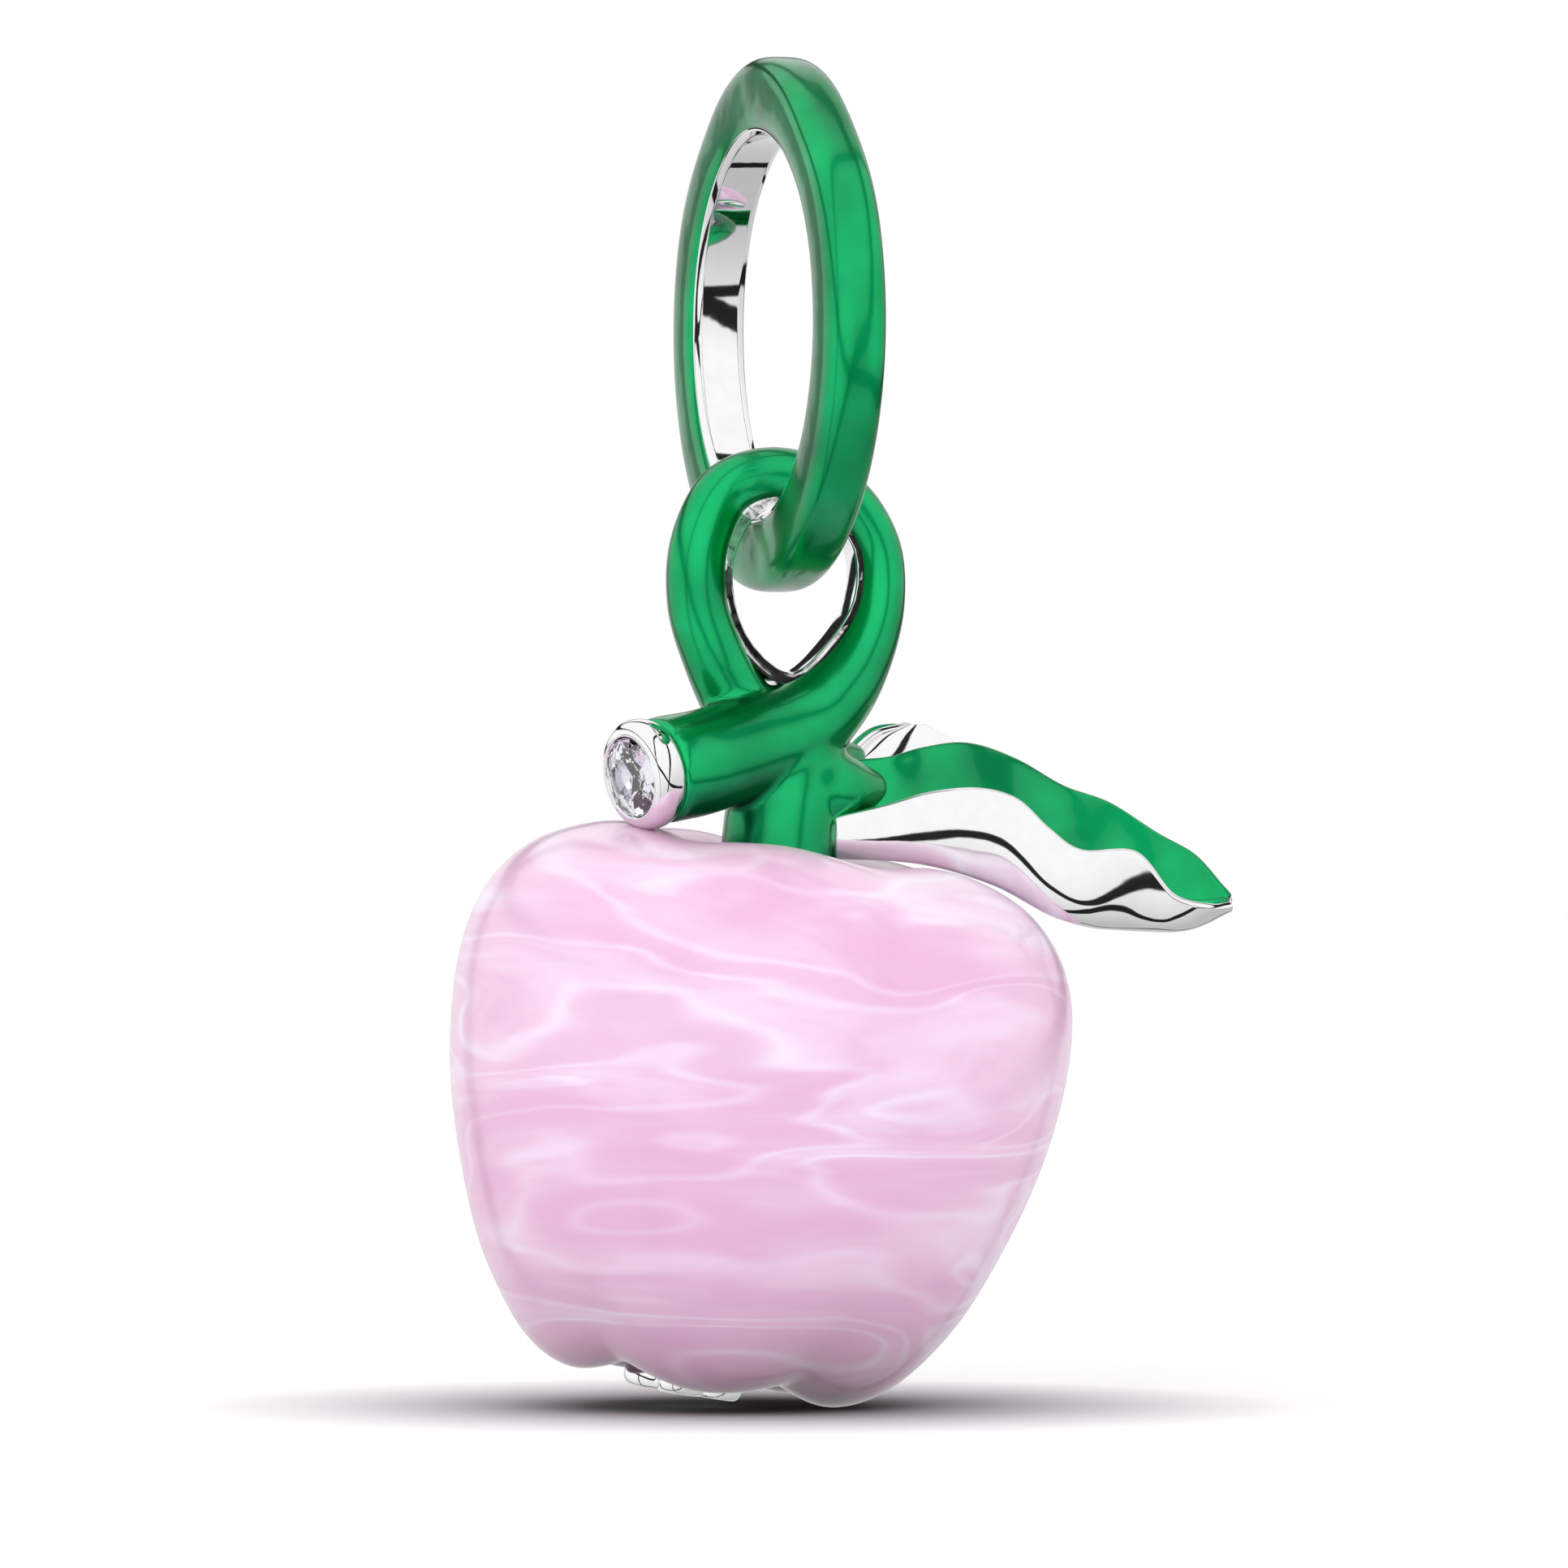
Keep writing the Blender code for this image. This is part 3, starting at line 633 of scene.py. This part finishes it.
class CHARM_OT_stone(bpy.types.Operator):
    """Make the twig's end: a polished domed cup with the stone set in its raised rim"""

    bl_idname = "charm.stone"
    bl_label = "Cup and stone"

    def execute(self, context):
        """The cup is a profile of (radius, height) turned about the twig's direction."""
        outer = smooth(((1.08, -CUP_LENGTH), (1.14, -0.50), (1.165, -0.32), (1.13, -0.14), (1.03, -0.02),
                        (0.93, 0.025)), 26)
        rim = smooth(((0.91, 0.03), (0.885, 0.045), (0.86, 0.03), (0.84, -0.02)), 8)
        well = smooth(((0.83, -0.06), (0.45, -0.36), (0.05, -0.50)), 6)
        profile = np.vstack(((0.02, -CUP_LENGTH), (1.0, -CUP_LENGTH), outer, rim, well, (0.01, -0.50)))
        cup = turned("crystal_cup_polished", profile, TWIG_END, TWIG_OUT, finish("silver"))
        cup.data.set_sharp_from_angle(angle=CUP_CREASE)
        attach(cup, "drop")
        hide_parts("crystal_cup")
        radius = context.scene.charm_sizes.stone_radius / MM
        place = TWIG_END - TWIG_OUT * STONE_SUNK
        stone = brilliant("crystal_cut", radius, place, TWIG_OUT, finish("stone"))
        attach(stone, "drop")
        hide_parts("crystal")
        return {"FINISHED"}


# --- Leaves -------------------------------------------------------------------------------------

# Each leaf is a folded sheet on three lines from root to tip: one rim, the keel, the other rim
LEAF_UNDER = -0.14
ENAMEL_OVERLAP = 0.03
# The dimple's middle and half width, along the leaf and across it
DIMPLE_ALONG = (0.30, 0.13)
DIMPLE_ACROSS = (-0.50, 0.26)
FRONT_LEAF = (
    ((1.20, -0.42, -5.55), (2.30, -0.44, -5.28), (3.20, -0.48, -5.02), (4.20, -0.52, -4.93),
     (5.00, -0.56, -5.15), (5.65, -0.56, -5.75), (6.35, -0.54, -6.22), (7.50, -0.50, -6.26),
     (8.30, -0.40, -7.15), (9.05, -0.30, -7.36), (9.52, -0.03, -7.32)),
    ((1.20, -0.22, -6.18), (3.00, -0.24, -6.34), (4.55, -0.24, -6.80), (5.90, -0.20, -7.48),
     (7.20, 0.00, -7.74), (8.60, 0.05, -7.72), (9.52, 0.05, -7.34)),
    ((1.20, 0.60, -4.40), (2.20, 0.85, -4.34), (2.95, 1.40, -4.14), (3.95, 1.90, -4.02),
     (5.00, 2.20, -4.36), (6.00, 2.10, -4.92), (7.00, 1.80, -5.28), (8.00, 1.30, -5.92),
     (8.80, 0.85, -6.40), (9.35, 0.30, -7.05), (9.52, 0.12, -7.30)),
)
BACK_LEAF = (
    ((1.35, 1.00, -4.75), (1.55, 1.60, -4.20), (2.05, 2.20, -3.74), (2.75, 2.75, -3.56)),
    ((1.50, 1.20, -5.00), (1.95, 1.75, -4.55), (2.50, 2.35, -4.00), (2.90, 2.78, -3.62)),
    ((1.75, 1.25, -5.00), (3.05, 1.80, -4.60), (3.75, 2.35, -4.10), (3.10, 2.80, -3.62)),
)


def leaf_sheet(lines, span, edge, steps, columns, dimple=0.0):
    """Points and normals: at each station a parabola through rim, keel and rim, with a soft dimple."""
    long = [smooth(line, 241) for line in lines]
    where, index = np.linspace(*span, steps) * 240, np.arange(241)
    rim_a, keel, rim_b = (np.stack([np.interp(where, index, line[:, k]) for k in range(3)], axis=1)
                          for line in long)
    across = np.linspace(*edge, columns)
    q = across[None, :, None]
    mean, half = ((rim_a + rim_b) / 2)[:, None], ((rim_b - rim_a) / 2)[:, None]
    sheet = keel[:, None] + half * q + (mean - keel[:, None]) * q**2
    normal = unit(np.cross(np.gradient(sheet, axis=0), np.gradient(sheet, axis=1)))
    s = np.linspace(*span, steps)[:, None]
    along = (s - DIMPLE_ALONG[0]) / DIMPLE_ALONG[1]
    aside = (across - DIMPLE_ACROSS[0]) / DIMPLE_ACROSS[1]
    dent = dimple * np.exp(-along ** 2 - aside ** 2)
    return sheet + normal * dent[..., None], normal


def leaf_plate(name, lines, span, levels, material, dimple=0.0, steps=180, columns=64, crown=0.35):
    """A closed plate between two levels over the sheet, its two long edges swelling out round.

    The span is a pair of ranges: from root to tip, and across from rim to rim.
    """
    (ends, edge), (low, high) = span, levels
    sheet, normal = leaf_sheet(lines, ends, edge, steps, columns, dimple)
    outward = unit(sheet[:, (0, -1)] - sheet[:, (1, -2)])
    middle, reach = (low + high) / 2, (high - low) / 2
    angle = np.radians((-60, -30, 0, 30, 60))
    rims = (sheet[:, (0, -1), None] + outward[:, :, None] * (reach * crown * 2 * np.cos(angle))[:, None]
            + normal[:, (0, -1), None] * (middle + reach * np.sin(angle))[:, None])
    grid = np.concatenate((sheet + normal * low, rims[:, 1], (sheet + normal * high)[:, ::-1],
                           rims[:, 0, ::-1]), axis=1)
    return surface(name, drop_point(grid), ends=True, finish=material)


class CHARM_OT_leaves(bpy.types.Operator):
    """Make the two leaves: folded silver sheets with enamel pooled inside a bare rim"""

    bl_idname = "charm.leaves"
    bl_label = "Leaves"

    def execute(self, context):
        """Each leaf is a silver plate and an enamel plate over one sheet of parabolas."""
        sizes = context.scene.charm_sizes
        upper = LEAF_UNDER + sizes.leaf_silver / MM
        enamel = sizes.leaf_enamel / MM
        for name, lines, plate, inlay, dimple in (
                ("leaf", FRONT_LEAF, ((0.0, 0.99), (-0.99, 0.97)), ((0.0, 0.975), (-0.95, 0.985)), 0.10),
                ("back_leaf", BACK_LEAF, ((0.0, 0.98), (-0.99, 0.99)), ((0.0, 0.95), (-0.95, 0.95)),
                 0.05)):
            made = leaf_plate(f"{name}_polished", lines, plate, (LEAF_UNDER, upper), finish("silver"),
                              dimple)
            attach(made, "drop")
            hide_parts(f"{name}_casting")
            made = leaf_plate(f"{name}_enamel_flowed", lines, inlay,
                              (upper - ENAMEL_OVERLAP, upper + enamel), finish("enamel"), dimple,
                              crown=0.6)
            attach(made, "drop")
            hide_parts(f"{name}_enamel")
        return {"FINISHED"}


# --- Glass, post and calyx ----------------------------------------------------------------------

# (radius, height) along the apple's axis, from the calyx round the outside to the trunk's foot
APPLE_PROFILE = ((0.9, -4.62), (1.6, -5.02), (2.3, -5.42), (3.0, -5.48), (3.85, -5.02), (4.72, -4.0),
                 (5.36, -2.85), (6.0, -1.1), (6.37, 0.5), (6.50, 2.1), (6.36, 3.4), (5.92, 4.4),
                 (5.2, 5.13), (4.25, 5.56), (3.35, 5.70), (2.5, 5.58), (1.85, 5.18), (1.48, 4.6),
                 (0.95, 4.26))
LOBES_BELOW = -0.5
SHOULDER_ABOVE = 3.0
SHOULDER_WAVE = 0.24
CALYX_MIDDLE = -5.62
CALYX_SHIFT = -0.28
CALYX_WAIST = 0.78
PETAL_TURN = math.radians(-97.0)
PETAL_THICK = 0.50
PETAL_ROUND = 0.14


def lobe(angle, turn):
    """One at the middle of each lobe and near zero in the creases: a rounded absolute cosine."""
    return np.sqrt(np.cos(LOBES / 2 * (angle - turn)) ** 2 + 0.02)


class CHARM_OT_apple(bpy.types.Operator):
    """Make the glass apple: a profile turned about its leaning axis, swelling and dropping in lobes"""

    bl_idname = "charm.apple"
    bl_label = "Glass apple"

    def execute(self, context):
        """Radius and height of each profile point, changed by the lobe wave of its angle."""
        body = smooth(APPLE_PROFILE, 222)
        bore = np.stack((np.full(8, BORE), np.linspace(4.10, -4.46, 8)), axis=1)
        profile = np.vstack(((0.6, -4.56), body, (0.62, 4.20), bore))
        angles = np.linspace(0, 2 * math.pi, 380, endpoint=False)
        r, h = profile[:, :1], profile[:, 1:]
        swell = lobe(angles, -math.pi / 2)[None] - 0.65
        soft = 0.4 * np.cos(LOBES * (angles + math.pi / 2))[None]
        low = np.clip((LOBES_BELOW - h) / 4.2, 0, 1) ** 1.6 * np.clip((r - BORE) / 2.0, 0, 1)
        high = np.clip((h - SHOULDER_ABOVE) / 3.0, 0, 1) * np.clip((r - 1.6) / 1.6, 0, 1)
        drop = context.scene.charm_sizes.lobe_drop / MM
        radius = r * (1 + 0.030 * low * swell)
        height = h - drop * low * swell + SHOULDER_WAVE * high * soft
        side = radius * np.cos(angles) + APPLE_SHIFT * np.clip((r - 1.6) / 3.0, 0, 1)
        s, c = math.sin(APPLE_LEAN), math.cos(APPLE_LEAN)
        grid = np.stack((APPLE_CENTRE[0] + side * c + height * s, radius * np.sin(angles),
                         APPLE_CENTRE[2] - side * s + height * c), axis=2)
        piece = surface("apple_glass_polished", drop_point(grid), wrap=(True, True),
                        finish=finish("glass"))
        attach(piece, "drop")
        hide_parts("apple_glass")
        keep_node("core_post", finish("silver"))
        return {"FINISHED"}


class CHARM_OT_calyx(bpy.types.Operator):
    """Make the calyx: a silver flower of five round petals under the glass"""

    bl_idname = "charm.calyx"
    bl_label = "Calyx"

    def execute(self, context):
        """The petals' outline is a waist plus the lobe wave, on rings that round its edge."""
        reach = context.scene.charm_sizes.petal_reach / MM
        angles = np.linspace(0, 2 * math.pi, 300, endpoint=False)
        outline = CALYX_WAIST + (reach - CALYX_WAIST) * lobe(angles, PETAL_TURN)
        turn = np.linspace(-90, 90, 15)
        inset = PETAL_ROUND * (1 - np.cos(np.radians(turn)))
        level = CALYX_MIDDLE + PETAL_THICK / 2 * np.sin(np.radians(turn))
        grow = np.concatenate(((0.02, 0.45), 1 - inset, (0.45, 0.42, 0.42, 0.02)))
        h = np.concatenate(((-5.80, -5.80), level, (-5.42, -5.38, -5.10, -5.10)))
        flat = np.clip((0.5 - grow) / 0.1, 0, 1)[:, None]
        radius = grow[:, None] * (outline[None] * (1 - flat) + 1.25 * flat)
        side, depth = radius * np.cos(angles) + CALYX_SHIFT, radius * np.sin(angles)
        s, c = math.sin(APPLE_LEAN), math.cos(APPLE_LEAN)
        grid = np.stack((APPLE_CENTRE[0] + side * c + h[:, None] * s, depth,
                         APPLE_CENTRE[2] - side * s + h[:, None] * c), axis=2)
        piece = surface("calyx_polished", drop_point(grid), ends=True, finish=finish("silver"))
        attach(piece, "drop")
        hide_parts("calyx")
        return {"FINISHED"}


# --- Studio -------------------------------------------------------------------------------------

FLOOR_HALF = 900.0
FLOOR_GAP = 0.02
# How far and how strongly the painted shadow darkens the floor's colour under the charm
SHADOW_REACH = 7.0
SHADOW_DEPTH = 1.3
# Dark strips in the tent: which way each great circle faces, half its width and its soft edge
STRIPS = (((0.82, 0.35, -0.45), 0.055, 0.015), ((0.25, -0.30, 0.92), 0.05, 0.02),
          ((-0.55, 0.80, 0.22), 0.035, 0.012))
STRIP_DARKNESS = 0.98
TENT_BRIGHT_SIDE = (-0.38, -0.12, 0.92)
TENT_DIM = 0.55
TENT_BRIGHT = 1.06
# Lamps: name, kind, place in metres, power, and its size in metres or its spread in radians
LAMPS = (("key", "AREA", (-0.16, -0.22, 0.16), 0.10, 0.12), ("top", "SUN", (0.02, -0.05, 0.30), 0.55, 1.0))
LAMPS_AIM = Vector((0.0, 0.0, -0.012))
LENS = 274.0
SENSOR = 36.0
CAMERA_AWAY = 0.25
VIEW_RIGHT = 0.136
VIEW_HEIGHT = -13.58


def make_floor(scene):
    """A wide pale sheet under the charm, with a shadow painted into its colour where the charm closes over
    it.
    """
    low = CAD_BOX[0][2] / MM - FLOOR_GAP
    corners = np.array((((-FLOOR_HALF, -FLOOR_HALF, low), (FLOOR_HALF, -FLOOR_HALF, low)),
                        ((-FLOOR_HALF, FLOOR_HALF, low), (FLOOR_HALF, FLOOR_HALF, low))))
    made, tree, shader = begin("studio_paper_painted_shadow", Roughness=0.9)
    grain = node(tree, "ShaderNodeTexNoise", {"Vector": object_mm(tree), "Scale": 0.5})
    pale = tuple(scene.charm_colours.floor)
    shade = ramp(tree, grain.outputs["Fac"], (0.0, tuple(0.985 * c for c in pale)), (1.0, pale))
    # Painted shadow: ambient occlusion within the shadow reach darkens the floor's colour under the charm.
    near = node(tree, "ShaderNodeAmbientOcclusion", {"Color": shade, "Distance": SHADOW_REACH * MM})
    painted_shadow = maths(tree, "POWER", near.outputs["AO"], SHADOW_DEPTH)
    dim = node(tree, "ShaderNodeVectorMath", {0: shade, "Scale": painted_shadow}, operation="SCALE")
    tree.links.new(dim.outputs[0], shader.inputs["Base Color"])
    floor = surface("studio_floor", corners, wrap=(False, False), finish=made)
    floor.visible_glossy = False


def make_tent(scene):
    """White to the camera; to everything else a bright side fading to a dim one, crossed by strips."""
    world = bpy.data.worlds.new("studio_tent")
    scene.world = world
    world.use_nodes = True
    tree = world.node_tree
    tree.nodes.clear()
    coords = node(tree, "ShaderNodeTexCoord").outputs["Generated"]
    dark = 0.0
    for normal, half, edge in STRIPS:
        dot = node(tree, "ShaderNodeVectorMath", {0: coords, 1: tuple(unit(np.array(normal)))},
                   operation="DOT_PRODUCT")
        off = maths(tree, "ABSOLUTE", dot.outputs["Value"])
        strip = node(tree, "ShaderNodeMapRange", {"Value": off, "From Min": half + edge,
                                                  "From Max": half, "To Min": 0.0, "To Max": 1.0})
        dark = maths(tree, "MAXIMUM", strip.outputs[0], dark)
    bright_side = tuple(unit(np.array(TENT_BRIGHT_SIDE)))
    sweep = node(tree, "ShaderNodeVectorMath", {0: coords, 1: bright_side}, operation="DOT_PRODUCT")
    wall = node(tree, "ShaderNodeMapRange", {"Value": sweep.outputs["Value"], "From Min": -0.95,
                                             "From Max": 0.2, "To Min": TENT_DIM,
                                             "To Max": TENT_BRIGHT})
    left = maths(tree, "SUBTRACT", 1.0, maths(tree, "MULTIPLY", dark, STRIP_DARKNESS))
    lit = maths(tree, "MULTIPLY", wall.outputs[0], left)
    path = node(tree, "ShaderNodeLightPath")
    bright = maths(tree, "MAXIMUM", lit, path.outputs["Is Camera Ray"])
    glow = node(tree, "ShaderNodeBackground", {"Color": (1, 1, 1, 1), "Strength": bright})
    out = node(tree, "ShaderNodeOutputWorld")
    tree.links.new(glow.outputs[0], out.inputs["Surface"])


def make_lamps(scene):
    """A soft key lamp from the front left and a soft sun from above, neither seen in reflections."""
    for name, kind, place, power, size in LAMPS:
        lamp = bpy.data.lights.new(f"studio_{name}", kind)
        if kind == "AREA":
            lamp.size = size
        else:
            lamp.angle = size
        lamp.energy = power
        holder = bpy.data.objects.new(f"studio_{name}", lamp)
        holder.location = place
        holder.rotation_euler = (LAMPS_AIM - holder.location).to_track_quat("-Z", "Y").to_euler()
        holder.visible_glossy = False
        scene.collection.objects.link(holder)


def make_camera(scene):
    """A long lens that looks level along the drop's own depth direction."""
    view = bpy.data.cameras.new("studio_camera")
    view.lens = LENS
    view.sensor_width = SENSOR
    view.clip_start = 0.01
    camera = bpy.data.objects.new("studio_camera", view)
    right = Vector((math.cos(DROP_TURN), math.sin(DROP_TURN), 0))
    away = Vector((-math.sin(DROP_TURN), math.cos(DROP_TURN), 0))
    target = right * (VIEW_RIGHT * MM) + Vector((0, 0, VIEW_HEIGHT * MM))
    camera.location = target - away * CAMERA_AWAY
    camera.rotation_euler = away.to_track_quat("-Z", "Y").to_euler()
    scene.collection.objects.link(camera)
    scene.camera = camera


class CHARM_OT_stage(bpy.types.Operator):
    """Make the studio: pale floor with a painted shadow under the charm, white tent with dark strips to
    reflect, two soft lights, camera
    """

    bl_idname = "charm.stage"
    bl_label = "Studio"

    def execute(self, context):
        """Each part has its own function; colours are shown as they are, with no film curve."""
        scene = context.scene
        make_floor(scene)
        scene.view_settings.view_transform = "Standard"
        make_tent(scene)
        make_lamps(scene)
        make_camera(scene)
        return {"FINISHED"}


# --- Add-on -------------------------------------------------------------------------------------

STEPS = (CHARM_OT_stage, CHARM_OT_ring, CHARM_OT_stem, CHARM_OT_stone, CHARM_OT_leaves, CHARM_OT_apple,
         CHARM_OT_calyx)


class CHARM_PT_panel(bpy.types.Panel):
    """Lists the charm's settings and the operators that make it"""

    bl_idname = "CHARM_PT_panel"
    bl_label = "Apple charm"
    bl_space_type = "VIEW_3D"
    bl_region_type = "UI"
    bl_category = "Charm"

    def draw(self, context):
        """Settings first, then one button for each step."""
        for group in (context.scene.charm_sizes, context.scene.charm_colours):
            for key in group.__annotations__:
                self.layout.prop(group, key)
        for step in STEPS:
            self.layout.operator(step.bl_idname)


CLASSES = (CharmSizes, CharmColours, *STEPS, CHARM_PT_panel)


def register():
    """Register the classes and hang the settings on the scene."""
    for made in CLASSES:
        bpy.utils.register_class(made)
    bpy.types.Scene.charm_sizes = PointerProperty(type=CharmSizes)
    bpy.types.Scene.charm_colours = PointerProperty(type=CharmColours)


def unregister():
    """Take the settings and the classes away again."""
    del bpy.types.Scene.charm_colours
    del bpy.types.Scene.charm_sizes
    for made in reversed(CLASSES):
        bpy.utils.unregister_class(made)


def main():
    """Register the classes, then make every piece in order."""
    register()
    for step in STEPS:
        group, name = step.bl_idname.split(".")
        getattr(getattr(bpy.ops, group), name)()


if __name__ == "__main__":
    main()
